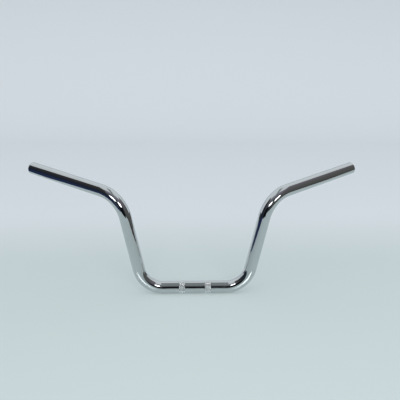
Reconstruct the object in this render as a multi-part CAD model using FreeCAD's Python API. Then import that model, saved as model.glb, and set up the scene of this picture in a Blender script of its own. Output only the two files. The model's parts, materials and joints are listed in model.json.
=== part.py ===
import FreeCAD, Part
import math
import os

# Moped handlebar: one steel tube, bent four times, with two knurled bands where the stem clamp grips it.
#
# The frame's origin is the middle of the clamp stretch, on the tube's axis. +X runs along that stretch
# to the rider's left, +Y back towards the rider and +Z up, in the plane of the two legs.

Vector = FreeCAD.Vector

# Driving dimensions, in millimetres and degrees
TUBE_OUTSIDE = 22.0  # outside diameter, the common moped size
TUBE_WALL = 2.0
CLAMP_LENGTH = 110.0  # straight stretch between the two lower bends
LOWER_BEND_RADIUS = 45.0  # to the tube's axis
LEG_SLOPE = 78.0  # the legs' angle above level, which is the lower bends' turn
LEG_LENGTH = 97.0  # straight stretch between a lower and an upper bend
UPPER_BEND_RADIUS = 55.0  # to the tube's axis
GRIP_LENGTH = 154.0  # straight stretch that carries the grip and the lever
GRIP_RISE = 9.0  # the grips' angle above level
GRIP_SWEEP = 28.0  # the grips' angle back towards the rider
END_CHAMFER = 0.8  # on the tube's outer edge at each end
BORE_CHAMFER = 0.4  # on the inner edge at each end
KNURL_SPACING = 46.0  # between the middles of the two bands
KNURL_WIDTH = 10.0
KNURL_TEETH = 48
KNURL_RISE = 0.08  # how far the rolled crests stand above the tube
KNURL_DEPTH = 0.35  # from crest to root

# Sizes that follow
OUTER_RADIUS = TUBE_OUTSIDE / 2
BORE_RADIUS = OUTER_RADIUS - TUBE_WALL
CREST_RADIUS = OUTER_RADIUS + KNURL_RISE
ROOT_RADIUS = CREST_RADIUS - KNURL_DEPTH
KNURL_CORE_RADIUS = (ROOT_RADIUS + BORE_RADIUS) / 2  # mid-wall, where a band's ring meets the tube

CENTRE = Vector(0, 0, 0)
ACROSS = Vector(1, 0, 0)  # the clamp stretch's heading


def heading_at(rise, sweep):
    """The unit heading at these angles above level and back, on the half that runs towards +X."""
    level = math.cos(math.radians(rise))
    across = level * math.cos(math.radians(sweep))
    back = level * math.sin(math.radians(sweep))
    return Vector(across, back, math.sin(math.radians(rise)))


def disc(radius, middle, heading):
    """A round face square to the heading."""
    return Part.Face(Part.Wire(Part.makeCircle(radius, middle, heading)))


def section(middle, heading):
    """The tube's ring-shaped section at a point of its axis."""
    return disc(OUTER_RADIUS, middle, heading).cut(disc(BORE_RADIUS, middle, heading))


def straight(start, heading, length):
    """A straight stretch of tube, and the point of the axis where it ends."""
    run = heading * length
    return section(start, heading).extrude(run), start + run


def bend(start, heading, next_heading, radius):
    """A bend from one heading to the next, and the point of the axis where it ends."""
    turn_axis = heading.cross(next_heading).normalize()
    turn = math.degrees(heading.getAngle(next_heading))
    centre = start + turn_axis.cross(heading) * radius
    end = centre + FreeCAD.Rotation(turn_axis, turn).multVec(start - centre)
    return section(start, heading).revolve(centre, turn_axis, turn), end


def chamfer_end(run, tip, heading):
    """A straight stretch with its outer and inner edges chamfered at the tip."""
    outer_base = tip - heading * END_CHAMFER
    bore_base = tip - heading * BORE_CHAMFER
    collar = Part.makeCylinder(TUBE_OUTSIDE, END_CHAMFER, outer_base, heading)
    taper = Part.makeCone(OUTER_RADIUS, OUTER_RADIUS - END_CHAMFER, END_CHAMFER, outer_base, heading)
    mouth = Part.makeCone(BORE_RADIUS, BORE_RADIUS + BORE_CHAMFER, BORE_CHAMFER, bore_base, heading)
    return run.cut(collar.cut(taper)).cut(mouth)


def half_bar():
    """The stretches from the middle of the clamp stretch out to the grip's end, on the +X side."""
    leg = heading_at(LEG_SLOPE, 0)
    grip = heading_at(GRIP_RISE, GRIP_SWEEP)
    clamp_run, at = straight(CENTRE, ACROSS, CLAMP_LENGTH / 2)
    lower_bend, at = bend(at, ACROSS, leg, LOWER_BEND_RADIUS)
    leg_run, at = straight(at, leg, LEG_LENGTH)
    upper_bend, at = bend(at, leg, grip, UPPER_BEND_RADIUS)
    grip_run, tip = straight(at, grip, GRIP_LENGTH)
    return [clamp_run, lower_bend, leg_run, upper_bend, chamfer_end(grip_run, tip, grip)]


def serrated_bar(start):
    """A bar along X, as long as a band, whose outline runs between the knurl's crests and roots."""
    outline = []
    for step in range(2 * KNURL_TEETH + 1):
        angle = math.pi * step / KNURL_TEETH
        radius = CREST_RADIUS if step % 2 == 0 else ROOT_RADIUS
        outline.append(start + Vector(0, radius * math.cos(angle), radius * math.sin(angle)))
    return Part.Face(Part.makePolygon(outline)).extrude(ACROSS * KNURL_WIDTH)


def knurl(tube, middle):
    """The tube with one band rolled into it: its skin there gives way to a serrated ring."""
    start = ACROSS * (middle - KNURL_WIDTH / 2)
    core = Part.makeCylinder(KNURL_CORE_RADIUS, KNURL_WIDTH, start, ACROSS)
    skin = Part.makeCylinder(TUBE_OUTSIDE, KNURL_WIDTH, start, ACROSS).cut(core)
    return tube.cut(skin).fuse(serrated_bar(start).cut(core))


def handlebar():
    """The whole bar as one solid."""
    near = half_bar()
    far = [stretch.mirror(CENTRE, ACROSS) for stretch in near]
    tube = near[0].multiFuse(near[1:] + far).removeSplitter()
    for side in (-1, 1):
        tube = knurl(tube, side * KNURL_SPACING / 2)
    return tube.removeSplitter()


os.makedirs("parts", exist_ok=True)
handlebar().exportStep("parts/handlebar_tube.step")
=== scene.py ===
import json
import math

import bpy
from bpy.props import FloatProperty, FloatVectorProperty, IntProperty, PointerProperty
from mathutils import Matrix, Vector


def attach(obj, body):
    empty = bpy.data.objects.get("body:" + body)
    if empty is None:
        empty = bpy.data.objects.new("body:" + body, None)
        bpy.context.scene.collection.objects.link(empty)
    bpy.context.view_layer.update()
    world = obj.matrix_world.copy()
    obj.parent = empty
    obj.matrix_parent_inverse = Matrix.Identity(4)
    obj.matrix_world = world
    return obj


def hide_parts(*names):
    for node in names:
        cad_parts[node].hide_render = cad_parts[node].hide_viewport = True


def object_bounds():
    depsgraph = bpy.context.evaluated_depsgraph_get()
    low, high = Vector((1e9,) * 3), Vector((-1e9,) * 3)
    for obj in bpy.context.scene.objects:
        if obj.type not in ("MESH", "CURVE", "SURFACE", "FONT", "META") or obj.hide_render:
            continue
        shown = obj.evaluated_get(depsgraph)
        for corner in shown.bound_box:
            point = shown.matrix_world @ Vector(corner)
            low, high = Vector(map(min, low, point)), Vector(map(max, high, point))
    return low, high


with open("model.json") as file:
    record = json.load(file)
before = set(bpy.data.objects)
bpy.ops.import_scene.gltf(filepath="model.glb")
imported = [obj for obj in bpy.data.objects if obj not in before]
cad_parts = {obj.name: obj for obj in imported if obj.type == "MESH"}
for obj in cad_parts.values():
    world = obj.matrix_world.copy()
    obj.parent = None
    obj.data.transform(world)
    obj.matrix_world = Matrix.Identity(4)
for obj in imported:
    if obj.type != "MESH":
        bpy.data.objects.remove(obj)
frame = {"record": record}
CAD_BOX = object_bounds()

bl_info = {
    "name": "Moped Handlebar",
    "version": (1, 0, 0),
    "blender": (4, 5, 0),
    "location": "View3D > Sidebar > Handlebar",
    "description": "Models a chromed moped handlebar round its packed frame, and its stage",
    "category": "Object",
}

NODE = "handlebar_tube"
MOUNTS = {mount["name"]: mount for mount in frame["record"]["mounts"]}
CLAMP_SEAT = MOUNTS["stem_clamp_seat"]
GRIP_SEAT = MOUNTS["left_grip_seat"]
END_BORE = MOUNTS["left_end_bore"]
MM = 0.001
ACROSS = Vector((1, 0, 0))
UP = Vector((0, 0, 1))
FLOOR_Z = CAD_BOX[0].z

LOWER_BEND_STEPS = 39  # rings of faces round a bend
UPPER_BEND_STEPS = 36
LINES_PER_TOOTH = 4  # lines along the tube that share a tooth: crest, flank, root, flank
RUN_OUT = 0.01  # share of a band's width in which its teeth run out at either edge
END_SEGMENTS = 4  # faces across a rounded edge
MERGE = 1e-6  # metres
SLACK = 0.01 * MM  # for finding points by their place
SEAT_SLACK = 0.5 * MM  # for the tube's run to its grip seat
SMOOTH_ANGLE = math.radians(35)
CHROME, STEEL, KNURL = range(3)  # the tube's material slots


class TubeSizes(bpy.types.PropertyGroup):
    """The bent tube's sizes. Those that a mount states come from the frame."""

    radius: FloatProperty(
        name="Tube radius", description="Outside radius of the tube", subtype="DISTANCE", unit="LENGTH",
        default=CLAMP_SEAT["dims"]["r_mm"] * MM,
    )
    bore: FloatProperty(
        name="Bore radius", description="Inside radius of the tube", subtype="DISTANCE", unit="LENGTH",
        default=END_BORE["dims"]["r_mm"] * MM,
    )
    clamp_length: FloatProperty(
        name="Clamp stretch", description="Straight length between the lower bends", subtype="DISTANCE",
        unit="LENGTH", default=CLAMP_SEAT["dims"]["length_mm"] * MM,
    )
    lower_bend: FloatProperty(
        name="Lower bend", description="Radius of the lower bends, to the tube's axis", subtype="DISTANCE",
        unit="LENGTH", default=0.045,
    )
    leg_slope: FloatProperty(
        name="Leg slope", description="The legs' angle above level", subtype="ANGLE", unit="ROTATION",
        default=math.radians(78),
    )
    leg_length: FloatProperty(
        name="Leg", description="Straight length of a leg", subtype="DISTANCE", unit="LENGTH",
        default=0.097,
    )
    upper_bend: FloatProperty(
        name="Upper bend", description="Radius of the upper bends, to the tube's axis", subtype="DISTANCE",
        unit="LENGTH", default=0.055,
    )
    end_round: FloatProperty(
        name="End round", description="Rounding of the tube's outer edge at its ends", subtype="DISTANCE",
        unit="LENGTH", default=0.0008,
    )
    mouth_round: FloatProperty(
        name="Mouth round", description="Rounding of the bore's edge at the ends", subtype="DISTANCE",
        unit="LENGTH", default=0.0004,
    )
    knurl_spacing: FloatProperty(
        name="Knurl spacing", description="Distance between the middles of the knurled bands",
        subtype="DISTANCE", unit="LENGTH", default=0.046,
    )
    knurl_width: FloatProperty(
        name="Knurl width", description="Width of a knurled band", subtype="DISTANCE", unit="LENGTH",
        default=0.010,
    )
    knurl_teeth: IntProperty(
        name="Knurl teeth", description="Teeth round a knurled band", default=48, min=12, max=90,
    )
    knurl_rise: FloatProperty(
        name="Knurl rise", description="How far the crests stand above the tube", subtype="DISTANCE",
        unit="LENGTH", default=0.00008,
    )
    knurl_depth: FloatProperty(
        name="Knurl depth", description="Depth of the teeth, from crest to root", subtype="DISTANCE",
        unit="LENGTH", default=0.00035,
    )


class FinishColours(bpy.types.PropertyGroup):
    """Colours of the tube's finishes."""

    chrome: FloatVectorProperty(
        name="Chrome", description="Reflection colour of the polished chrome", subtype="COLOR", size=3,
        min=0, max=1, default=(0.60, 0.63, 0.64),
    )
    # Brighter than the polished chrome: the satin chrome's own colour raised by a painted highlight for the
    # light that the teeth catch
    knurl: FloatVectorProperty(
        name="Knurl", description="Reflection colour of the rolled teeth's satin chrome", subtype="COLOR",
        size=3, min=0, max=1, default=(0.76, 0.79, 0.80),
    )
    steel: FloatVectorProperty(
        name="Bare steel", description="Reflection colour of the unplated bore", subtype="COLOR", size=3,
        min=0, max=1, default=(0.34, 0.325, 0.31),
    )
    stain: FloatVectorProperty(
        name="Stain", description="Colour of the bore's dull patches", subtype="COLOR", size=3,
        min=0, max=1, default=(0.22, 0.165, 0.125),
    )


class StageLook(bpy.types.PropertyGroup):
    """The floor and the light."""

    floor: FloatVectorProperty(
        name="Floor", description="Colour of the floor", subtype="COLOR", size=3, min=0, max=1,
        default=(0.576, 0.658, 0.672),
    )
    backdrop: FloatVectorProperty(
        name="Backdrop", description="Colour that the floor sweeps up into", subtype="COLOR", size=3, min=0,
        max=1, default=(0.70, 0.757, 0.80),
    )
    ambient: FloatVectorProperty(
        name="Surround", description="Colour of the light from all round", subtype="COLOR", size=3, min=0,
        max=1, default=(0.76, 0.795, 0.82),
    )
    glow: FloatProperty(
        name="Floor glow", description="Share of the floor's tone that the bar's shadow does not reach",
        subtype="FACTOR", default=0.35, min=0, max=1,
    )
    sheen: FloatProperty(
        name="Floor sheen", description="How glossy the floor is where the bar mirrors it",
        subtype="FACTOR", default=0.95, min=0, max=1,
    )
    fill: FloatProperty(
        name="Fill", description="Strength of the soft sun that evens the light out", default=0.35, min=0,
    )
    fill_colour: FloatVectorProperty(
        name="Fill colour", description="Colour of the soft sun", subtype="COLOR", size=3, min=0, max=1,
        default=(1.0, 0.85, 0.72),
    )
    key: FloatProperty(
        name="Key", description="Power of the soft lamp on the camera's side", unit="POWER",
        default=15.6, min=0,
    )
    lamp_brightness: FloatProperty(
        name="Lamp brightness", description="How bright the small lamps look, where 1 is white",
        default=12.0, min=0,
    )


class Shade:
    """A socket of a material's node tree. Arithmetic on it adds Math nodes; node() adds any other."""

    def __init__(self, tree, socket=None):
        self.tree = tree
        self.socket = socket

    def node(self, kind, settings=None, inputs=None, output=0):
        """Adds a node, sets its settings, fills or links its inputs, and gives one of its outputs."""
        made = self.tree.nodes.new(kind)
        for name, value in (settings or {}).items():
            setattr(made, name, value)
        for key, value in (inputs or {}).items():
            if isinstance(value, Shade):
                self.tree.links.new(value.socket, made.inputs[key])
            else:
                made.inputs[key].default_value = value
        return Shade(self.tree, made.outputs[output])

    def maths(self, operation, other):
        """Adds a Math node on this value and another."""
        return self.node("ShaderNodeMath", {"operation": operation}, {0: self, 1: other})

    def __add__(self, other):
        return self.maths("ADD", other)

    __radd__ = __add__

    def __mul__(self, other):
        return self.maths("MULTIPLY", other)

    __rmul__ = __mul__

    def between(self, low, high):
        """0 below low, 1 above high and a smooth step from one to the other."""
        settings = {"interpolation_type": "SMOOTHSTEP"}
        return self.node("ShaderNodeMapRange", settings, {0: self, 1: low, 2: high})

    def tint(self, low, high):
        """A colour between two, by this value. The numbers are the Mix node's colour sockets."""
        ends = [end if isinstance(end, Shade) else (*end, 1) for end in (low, high)]
        return self.node("ShaderNodeMix", {"data_type": "RGBA"}, {0: self, 6: ends[0], 7: ends[1]}, 2)

    def bump(self, height, strength, distance):
        """A normal that follows a height."""
        inputs = {"Strength": strength, "Distance": distance, "Height": height}
        return self.node("ShaderNodeBump", None, inputs)


def new_material(name):
    """An empty material, the start of its node tree and its output's surface socket."""
    material = bpy.data.materials.new(name)
    material.use_nodes = True
    tree = material.node_tree
    tree.nodes.clear()
    surface = tree.nodes.new("ShaderNodeOutputMaterial").inputs["Surface"]
    return material, Shade(tree), surface


def noise(at, per_metre, detail):
    """Soft noise over a position, with so many features to the metre."""
    return at.node("ShaderNodeTexNoise", None, {"Vector": at, "Scale": per_metre, "Detail": detail})


def polished_chrome(name, colour, roughness, haze):
    """Chrome over polished steel: a mirror with faint ripples, hazy patches and fine dust."""
    material, start, surface = new_material(name)
    at = start.node("ShaderNodeTexCoord", output="Object")
    smears = noise(at, per_metre=28, detail=4).between(0.48, 0.72)
    dust = noise(at, per_metre=900, detail=1).between(0.66, 0.74)
    ripple = noise(at, per_metre=55, detail=1) + 0.02 * noise(at, per_metre=2400, detail=1)
    dulled = [0.94 * channel for channel in colour]
    shader = start.node("ShaderNodeBsdfPrincipled", None, {
        "Base Color": (0.5 * smears + 0.5 * dust).tint(colour, dulled),
        "Metallic": 1.0,
        "Roughness": roughness + haze * smears + 0.05 * dust,
        "Normal": start.bump(ripple, strength=0.05, distance=0.2 * MM),
    })
    start.tree.links.new(shader.socket, surface)
    return material


def bare_steel(name, colour, stain):
    """The tube's unplated inside: drawn steel with dull, slightly brown patches."""
    material, start, surface = new_material(name)
    at = start.node("ShaderNodeTexCoord", output="Object")
    patches = noise(at, per_metre=120, detail=5).between(0.40, 0.68)
    grain = noise(at, per_metre=1500, detail=2)
    shader = start.node("ShaderNodeBsdfPrincipled", None, {
        "Base Color": patches.tint(colour, stain),
        "Metallic": 0.3,
        "Roughness": 0.48 + 0.25 * patches,
        "Normal": start.bump(grain, strength=0.25, distance=0.3 * MM),
    })
    start.tree.links.new(shader.socket, surface)
    return material


class TubeBender:
    """Draws a ring of edges along the tube's axis as a bender feeds it: straight runs and turns."""

    def __init__(self, sizes, segments):
        bpy.ops.object.select_all(action="DESELECT")
        bpy.ops.mesh.primitive_circle_add(
            vertices=segments, radius=sizes.radius, fill_type="NOTHING", rotation=(0, math.pi / 2, 0)
        )
        bpy.ops.object.transform_apply(rotation=True)
        self.at = Vector()
        self.heading = ACROSS.copy()
        bpy.ops.object.mode_set(mode="EDIT")

    def run(self, length, collar=0.0):
        """A straight run along the heading, with a short collar at either end if one is given."""
        for part in (collar, length - 2 * collar, collar):
            if part > 0:
                step = self.heading * part
                bpy.ops.mesh.extrude_region_move(TRANSFORM_OT_translate={"value": step})
                self.at += step

    def turn(self, heading, radius, steps):
        """A bend of that radius to a new heading. The spin operator counts its angle backwards."""
        axis = self.heading.cross(heading).normalized()
        angle = self.heading.angle(heading)
        centre = self.at + axis.cross(self.heading) * radius
        bpy.ops.mesh.spin(steps=steps, angle=-angle, center=centre, axis=axis)
        self.at = centre + Matrix.Rotation(angle, 3, axis) @ (self.at - centre)
        self.heading = heading.copy()


def band_stations(sizes):
    """Where the clamp stretch's rings go, from the middle outwards: a band's edges and its teeth's ends."""
    run_out = sizes.knurl_width * RUN_OUT
    inner = (sizes.knurl_spacing - sizes.knurl_width) / 2
    outer = inner + sizes.knurl_width
    return [inner, inner + run_out, outer - run_out, outer, sizes.clamp_length / 2]


def select_vertices(mesh, test):
    """Selects the vertices that pass the test, and nothing else. Works from object mode."""
    for element in (*mesh.polygons, *mesh.edges):
        element.select = False
    for vertex in mesh.vertices:
        vertex.select = test(vertex.co)


def apply_modifier(kind, **settings):
    """Adds a modifier to the active object, sets it and applies it."""
    modifier = bpy.context.object.modifiers.new(kind.title(), kind)
    for name, value in settings.items():
        setattr(modifier, name, value)
    bpy.ops.object.modifier_apply(modifier=modifier.name)


class HANDLEBAR_OT_tube(bpy.types.Operator):
    """Bend, knurl and chrome the handlebar's tube"""

    bl_idname = "handlebar.tube"
    bl_label = "Bent tube"
    bl_options = {"REGISTER", "UNDO"}

    def execute(self, context):
        sizes = context.scene.handlebar_sizes
        colours = context.scene.handlebar_colours
        tip = self.bend(sizes)
        tube = context.object
        tube.name = tube.data.name = "chromed_tube"
        for material in (
            polished_chrome("polished_chrome", colours.chrome, roughness=0.035, haze=0.045),
            bare_steel("bare_steel", colours.steel, colours.stain),
            # the knurl's chrome takes the brighter colour, partly its own and partly a painted highlight
            polished_chrome("knurl_chrome", colours.knurl, roughness=0.27, haze=0.06),
        ):
            tube.data.materials.append(material)
        self.give_wall(sizes)
        self.round_ends(sizes, tip)
        self.roll_knurl(sizes)
        bpy.ops.object.shade_smooth_by_angle(angle=SMOOTH_ANGLE)
        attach(tube, "root")
        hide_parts(NODE)
        return {"FINISHED"}

    def bend(self, sizes):
        """Draws the half that runs towards +X and mirrors it. Gives the middle of the grip's end."""
        leg = Vector((math.cos(sizes.leg_slope), 0, math.sin(sizes.leg_slope)))
        grip = Vector(GRIP_SEAT["axis"]).normalized()
        bender = TubeBender(sizes, LINES_PER_TOOTH * sizes.knurl_teeth)
        at = 0.0
        for station in band_stations(sizes):
            bender.run(station - at)
            at = station
        bender.turn(leg, sizes.lower_bend, LOWER_BEND_STEPS)
        bender.run(sizes.leg_length, collar=sizes.end_round)
        bender.turn(grip, sizes.upper_bend, UPPER_BEND_STEPS)
        seat_length = GRIP_SEAT["dims"]["length_mm"] * MM
        seat_start = Vector(GRIP_SEAT["pos_m"]) - grip * seat_length
        if (bender.at - seat_start).length > SEAT_SLACK:
            raise RuntimeError("the bends do not meet the frame's grip seat; check the tube's sizes")
        bender.run(seat_length + sizes.end_round, collar=2 * sizes.end_round)
        bpy.ops.object.mode_set(mode="OBJECT")
        apply_modifier("MIRROR", use_axis=(True, False, False), merge_threshold=MERGE)
        bpy.ops.object.mode_set(mode="EDIT")
        bpy.ops.mesh.select_all(action="SELECT")
        bpy.ops.mesh.remove_doubles(threshold=MERGE)
        bpy.ops.mesh.normals_make_consistent(inside=False)
        bpy.ops.object.mode_set(mode="OBJECT")
        return bender.at

    def give_wall(self, sizes):
        """Thickens the skin inwards. The bore's faces take the bare steel."""
        apply_modifier(
            "SOLIDIFY", thickness=sizes.radius - sizes.bore, offset=-1, use_even_offset=True,
            material_offset=STEEL - CHROME,
        )

    def round_ends(self, sizes, tip):
        """Rounds the edges of both ends, the outer one more than the bore's."""
        mesh = bpy.context.object.data
        grip = Vector(GRIP_SEAT["axis"]).normalized()
        mid_wall = (sizes.radius + sizes.bore) / 2

        def on_end(co, outer):
            """Whether a point lies on either end's outer or inner edge."""
            from_tip = Vector((abs(co.x), co.y, co.z)) - tip
            on_face = abs(from_tip.dot(grip)) < SLACK
            return on_face and (from_tip.length > mid_wall) == outer

        for outer, size in ((True, sizes.end_round), (False, sizes.mouth_round)):
            select_vertices(mesh, lambda co: on_end(co, outer))
            bpy.ops.object.mode_set(mode="EDIT")
            bpy.ops.mesh.select_mode(type="VERT")
            bpy.ops.mesh.select_mode(type="EDGE")
            bpy.ops.mesh.bevel(offset=size, segments=END_SEGMENTS, profile=0.5)
            bpy.ops.object.mode_set(mode="OBJECT")

    def roll_knurl(self, sizes):
        """Moves the bands' lines to the teeth's crests, flanks and roots."""
        mesh = bpy.context.object.data
        inner, *_, outer, _ = band_stations(sizes)
        mid_wall = (sizes.radius + sizes.bore) / 2
        pitch = math.tau / sizes.knurl_teeth
        crest = sizes.radius + sizes.knurl_rise
        root = LINES_PER_TOOTH // 2

        def in_band(co, margin):
            """Whether a point of the skin lies in a band, give or take a margin."""
            inside = inner - margin < abs(co.x) < outer + margin
            return inside and math.hypot(co.y, co.z) > mid_wall

        def depth_at(co):
            """How many lines down from the crest a point lies."""
            line = round(LINES_PER_TOOTH * math.atan2(co.z, co.y) / pitch) % LINES_PER_TOOTH
            return min(line, LINES_PER_TOOTH - line)

        for depth in range(root + 1):
            select_vertices(mesh, lambda co: in_band(co, -SLACK) and depth_at(co) == depth)
            bpy.ops.object.mode_set(mode="EDIT")
            bpy.ops.mesh.select_mode(type="VERT")
            scale = (crest - sizes.knurl_depth * depth / root) / sizes.radius
            bpy.ops.transform.resize(value=(1, scale, scale), center_override=(0, 0, 0))
            bpy.ops.object.mode_set(mode="OBJECT")
        for face in mesh.polygons:
            if in_band(face.center, SLACK):
                face.material_index = KNURL


FLAT = (0, 0, 0)
UPRIGHT = (math.pi / 2, 0, 0)
SIDEWAYS = (math.pi / 2, 0, math.pi / 2)
# Glow colours of the cards that paint a room's dark and light parts into the chrome's reflections
BLACK = (0.007, 0.007, 0.007)
NAVY = (0.022, 0.034, 0.088)
UMBER = (0.063, 0.046, 0.046)
GREY = (0.26, 0.28, 0.285)
PALE = (0.83, 0.87, 0.90)

# Glowing cards that stand on the floor and that only reflections see, a painted reflection of a room's dark
# and lighter parts: name, place, width and height, turn, glow colour at the foot and at the top
STANDING_REFLECTION_CARDS = (
    ("left_card", (-1.77, -1.55), (2.75, 3.10), SIDEWAYS, (0.017, 0.023, 0.036), (0.065, 0.055, 0.050)),
    ("left_low_card", (-1.77, 0.30), (0.95, 0.40), SIDEWAYS, BLACK, BLACK),
    ("front_card", (-1.95, -1.92), (9.35, 4.70), UPRIGHT, (0.023, 0.037, 0.048), (0.37, 0.35, 0.40)),
    ("near_card", (-0.14, -0.80), (0.62, 0.46), UPRIGHT, BLACK, BLACK),
    ("right_card", (1.04, -1.16), (2.60, 1.80), SIDEWAYS, (0.10, 0.105, 0.095), (0.195, 0.17, 0.20)),
    ("right_low_card", (1.04, 0.44), (0.60, 0.30), SIDEWAYS, UMBER, UMBER),
)
# Glowing cards that lie level and that only reflections see, painted reflections likewise: name, place,
# width and depth, height above the floor, glow colour
LEVEL_REFLECTION_CARDS = (
    ("left_skirt", (-1.12, -0.78), (1.29, 1.79), 0.003, NAVY),
    ("right_skirt", (0.84, -1.46), (0.40, 2.90), 0.003, UMBER),
    ("back_card", (0, 1.60), (4.00, 1.50), 2.00, PALE),
    ("top_card", (0.074, -0.86), (0.36, 2.97), 2.01, GREY),
)

# Spots that the small lamps are turned to, on the half that runs towards +X
UPPER_BEND = (0.134, -0.006, 0.162)
LOWER_BEND = (0.067, -0.009, 0.009)
FLOOR_BESIDE = (0.090, -0.030, FLOOR_Z)
# The small lamps: name, half (-1 or 1 along X), spot, the beam's bearing and fall in degrees, distance,
# width and height, the beam's spread in degrees, gain
LAMPS = (
    ("outer_left_lamp", -1, UPPER_BEND, 25, 21, 0.465, (0.165, 0.077), 24, 1.0),
    ("inner_left_lamp", -1, UPPER_BEND, -8.5, 22, 0.49, (0.135, 0.115), 24, 1.0),
    ("inner_right_lamp", 1, UPPER_BEND, 1, 21, 0.48, (0.175, 0.070), 24, 1.0),
    ("outer_right_lamp", 1, UPPER_BEND, -33.5, 16, 0.45, (0.117, 0.085), 24, 1.0),
    ("low_left_lamp", -1, LOWER_BEND, -19, 34.5, 0.55, (0.170, 0.120), 17, 1.5),
    ("low_right_lamp", 1, LOWER_BEND, 17.5, 36, 0.56, (0.175, 0.095), 18, 1.0),
    ("floor_left_lamp", -1, FLOOR_BESIDE, 20, 26, 0.16, (0.125, 0.046), 48, 1.6),
    ("floor_right_lamp", 1, FLOOR_BESIDE, -18.5, 27, 0.16, (0.073, 0.071), 48, 1.45),
)

SUN_WIDTH = math.radians(50)
SUN_TURN = (math.radians(32), math.radians(-16), 0)
KEY_SIZE = (1.4, 0.5)
KEY_PLACE = (0.2, -1.75, 0.85)
KEY_SPOT = (0, 0, 0.1)

FLOOR_SIZE = (16, 10)
FLOOR_MIDDLE = -3.4  # along Y
SWEEP_RADIUS = 0.9
SWEEP_ANGLE = math.radians(85)
SWEEP_STEPS = 24
BACKDROP_RUN = (0, 0.2, 2.2)  # from the top of the sweep
FADE = (0.1, 0.5)  # along Y, from the floor's colour to the backdrop's
SHEEN_ROUGHNESS = 0.08

CAMERA_PLACE = (-0.0318, -0.8180, 0.3986)
CAMERA_BEARING = 2.77  # degrees
CAMERA_RISE = -16.10
CAMERA_ROLL = 0.61
CAMERA_LENS = 45  # millimetres
CAMERA_SENSOR = 36


def direction(bearing, rise):
    """The unit vector at a bearing from +Y, towards +X, and a rise above level, both in degrees."""
    bearing, rise = math.radians(bearing), math.radians(rise)
    level = math.cos(rise)
    return Vector((level * math.sin(bearing), level * math.cos(bearing), math.sin(rise)))


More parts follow.
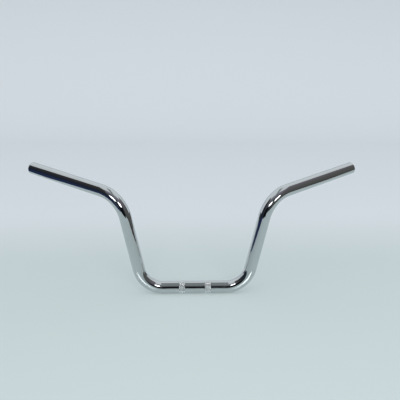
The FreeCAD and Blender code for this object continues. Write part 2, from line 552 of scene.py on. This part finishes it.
class HANDLEBAR_OT_stage(bpy.types.Operator):
    """Lay the floor, hang the cards and lamps and set the camera"""

    bl_idname = "handlebar.stage"
    bl_label = "Stage"
    bl_options = {"REGISTER", "UNDO"}

    def execute(self, context):
        look = context.scene.handlebar_stage
        context.scene.view_settings.view_transform = "Standard"
        self.light_world(context, look)
        self.lay_floor(look)
        self.hang_cards()
        self.hang_lamps(context, look)
        self.set_camera(context)
        return {"FINISHED"}

    def light_world(self, context, look):
        """Even light from all round, a soft sun and a broad key lamp. The bar mirrors neither lamp."""
        world = bpy.data.worlds.new("surround")
        world.use_nodes = True
        background = world.node_tree.nodes["Background"]
        background.inputs["Color"].default_value = (*look.ambient, 1)
        background.inputs["Strength"].default_value = 1.0
        context.scene.world = world
        sun = bpy.data.objects.new("fill", bpy.data.lights.new("fill", "SUN"))
        sun.data.energy = look.fill
        sun.data.color = look.fill_colour
        sun.data.angle = SUN_WIDTH
        sun.rotation_euler = SUN_TURN
        sun.visible_glossy = False
        context.scene.collection.objects.link(sun)
        key = bpy.data.lights.new("key", "AREA")
        key.shape = "RECTANGLE"
        key.size, key.size_y = KEY_SIZE
        key.energy = look.key
        self.hang(context, key, KEY_PLACE, KEY_SPOT).visible_glossy = False

    def lay_floor(self, look):
        """A floor that sweeps up into a backdrop well behind the bar."""
        back_edge = FLOOR_MIDDLE + FLOOR_SIZE[1] / 2
        bpy.ops.object.select_all(action="DESELECT")
        bpy.ops.mesh.primitive_plane_add(size=1, location=(0, FLOOR_MIDDLE, FLOOR_Z))
        floor = bpy.context.object
        floor.name = "floor"
        floor.scale = (*FLOOR_SIZE, 1)
        bpy.ops.object.transform_apply(location=True, scale=True)
        select_vertices(floor.data, lambda co: co.y > back_edge - SLACK)
        bpy.ops.object.mode_set(mode="EDIT")
        bpy.ops.mesh.select_mode(type="VERT")
        bpy.ops.mesh.select_mode(type="EDGE")
        centre = (0, back_edge, FLOOR_Z + SWEEP_RADIUS)
        bpy.ops.mesh.spin(steps=SWEEP_STEPS, angle=-SWEEP_ANGLE, center=centre, axis=ACROSS)
        bpy.ops.mesh.extrude_region_move(TRANSFORM_OT_translate={"value": BACKDROP_RUN})
        bpy.ops.object.mode_set(mode="OBJECT")
        bpy.ops.object.shade_smooth()
        floor.data.materials.append(self.pale_floor(look))

    def pale_floor(self, look):
        """The floor's tone, which fades into the backdrop's, and the sheen that only the bar mirrors."""
        material, start, surface = new_material("pale_floor")
        at = start.node("ShaderNodeTexCoord", output="Object")
        back = start.node("ShaderNodeSeparateXYZ", None, {"Vector": at}, "Y").between(*FADE)
        lit = [[(1 - look.glow) * channel for channel in colour] for colour in (look.floor, look.backdrop)]
        seen = sum(
            start.node("ShaderNodeLightPath", output=ray)
            for ray in ("Is Camera Ray", "Is Glossy Ray", "Is Transmission Ray")
        )
        tone = {
            "Base Color": back.tint(*lit),
            "Emission Color": seen.tint((0, 0, 0), back.tint(look.floor, look.backdrop)),
            "Emission Strength": look.glow,
        }
        plain = start.node("ShaderNodeBsdfPrincipled", None, {**tone, "Specular IOR Level": 0.0})
        sheen = start.node("ShaderNodeBsdfPrincipled", None, {**tone, "Roughness": SHEEN_ROUGHNESS})
        share = look.sheen * start.node("ShaderNodeLightPath", output="Is Glossy Ray")
        shader = start.node("ShaderNodeMixShader", None, {0: share, 1: plain, 2: sheen})
        start.tree.links.new(shader.socket, surface)
        return material

    def hang_cards(self):
        """Sets up the glowing cards round and above the bar, which paint a room's dark and light parts into
        the chrome's reflections.
        """
        for name, (x, y), size, turn, foot, top in STANDING_REFLECTION_CARDS:
            self.hang_card(name, (x, y, FLOOR_Z + size[1] / 2), size, turn, foot, top)
        for name, (x, y), size, height, colour in LEVEL_REFLECTION_CARDS:
            self.hang_card(name, (x, y, FLOOR_Z + height), size, FLAT, colour, colour)

    def hang_card(self, name, centre, size, turn, foot, top):
        """A glowing card that only reflections see, its glow going from the colour at its foot to the one
        at its top: a painted reflection.
        """
        bpy.ops.object.select_all(action="DESELECT")
        bpy.ops.mesh.primitive_plane_add(size=1, location=centre, rotation=turn)
        card = bpy.context.object
        card.name = name
        card.scale = (*size, 1)
        bpy.ops.object.transform_apply(location=True, rotation=True, scale=True)
        material, start, surface = new_material(name)
        at = start.node("ShaderNodeTexCoord", output="Object")
        height = start.node("ShaderNodeSeparateXYZ", None, {"Vector": at}, "Z")
        # the card's glow, not light falling on it, is the painted reflection that the chrome shows
        shader = start.node("ShaderNodeBsdfPrincipled", None, {
            "Base Color": (0, 0, 0, 1),
            "Specular IOR Level": 0.0,
            "Emission Color": height.between(FLOOR_Z, FLOOR_Z + size[1]).tint(foot, top),
            "Emission Strength": 1.0,
        })
        start.tree.links.new(shader.socket, surface)
        card.data.materials.append(material)
        card.visible_camera = card.visible_diffuse = card.visible_shadow = False

    def hang_lamps(self, context, look):
        """Gridded lamps on the camera's side, each turned to the spot that shows it."""
        for name, half, spot, bearing, fall, distance, size, spread, gain in LAMPS:
            target = Vector((half * spot[0], spot[1], spot[2]))
            place = target - distance * direction(bearing, -fall)
            beam = math.radians(spread) / 2
            beam_share = 1 - beam / math.tan(beam)
            area = size[0] * size[1]
            lamp = bpy.data.lights.new(name, "AREA")
            lamp.shape = "RECTANGLE"
            lamp.size, lamp.size_y = size
            lamp.spread = 2 * beam
            lamp.energy = gain * look.lamp_brightness * math.pi * area * beam_share
            hung = self.hang(context, lamp, place, target)
            hung.visible_camera = hung.visible_diffuse = False

    def hang(self, context, lamp, place, spot):
        """Hangs a lamp at a place, turned to a spot, and gives it."""
        hung = bpy.data.objects.new(lamp.name, lamp)
        hung.location = place
        hung.rotation_euler = (Vector(spot) - hung.location).to_track_quat("-Z", "Y").to_euler()
        context.scene.collection.objects.link(hung)
        return hung

    def set_camera(self, context):
        """The photograph's view, a little above the bar and almost square to it."""
        camera = bpy.data.objects.new("camera", bpy.data.cameras.new("camera"))
        camera.data.sensor_width = CAMERA_SENSOR
        camera.data.lens = CAMERA_LENS
        forward = direction(CAMERA_BEARING, CAMERA_RISE)
        right = forward.cross(UP).normalized()
        roll = Matrix.Rotation(-math.radians(CAMERA_ROLL), 3, forward)
        axes = Matrix((roll @ right, roll @ right.cross(forward), -forward)).transposed()
        camera.matrix_world = Matrix.Translation(CAMERA_PLACE) @ axes.to_4x4()
        context.scene.collection.objects.link(camera)
        context.scene.camera = camera


class HANDLEBAR_PT_panel(bpy.types.Panel):
    """Lists what the add-on makes, with its sizes and colours"""

    bl_idname = "HANDLEBAR_PT_panel"
    bl_label = "Moped Handlebar"
    bl_space_type = "VIEW_3D"
    bl_region_type = "UI"
    bl_category = "Handlebar"

    def draw(self, context):
        scene = context.scene
        for operator, group in (
            (HANDLEBAR_OT_tube, scene.handlebar_sizes),
            (None, scene.handlebar_colours),
            (HANDLEBAR_OT_stage, scene.handlebar_stage),
        ):
            box = self.layout.box()
            if operator:
                box.operator(operator.bl_idname)
            for name in group.__annotations__:
                box.prop(group, name)


CLASSES = (TubeSizes, FinishColours, StageLook, HANDLEBAR_OT_tube, HANDLEBAR_OT_stage, HANDLEBAR_PT_panel)


def register():
    for cls in CLASSES:
        bpy.utils.register_class(cls)
    bpy.types.Scene.handlebar_sizes = PointerProperty(type=TubeSizes)
    bpy.types.Scene.handlebar_colours = PointerProperty(type=FinishColours)
    bpy.types.Scene.handlebar_stage = PointerProperty(type=StageLook)


def unregister():
    del bpy.types.Scene.handlebar_stage
    del bpy.types.Scene.handlebar_colours
    del bpy.types.Scene.handlebar_sizes
    for cls in reversed(CLASSES):
        bpy.utils.unregister_class(cls)


def main():
    register()
    bpy.ops.handlebar.tube()
    bpy.ops.handlebar.stage()


if __name__ == "__main__":
    main()
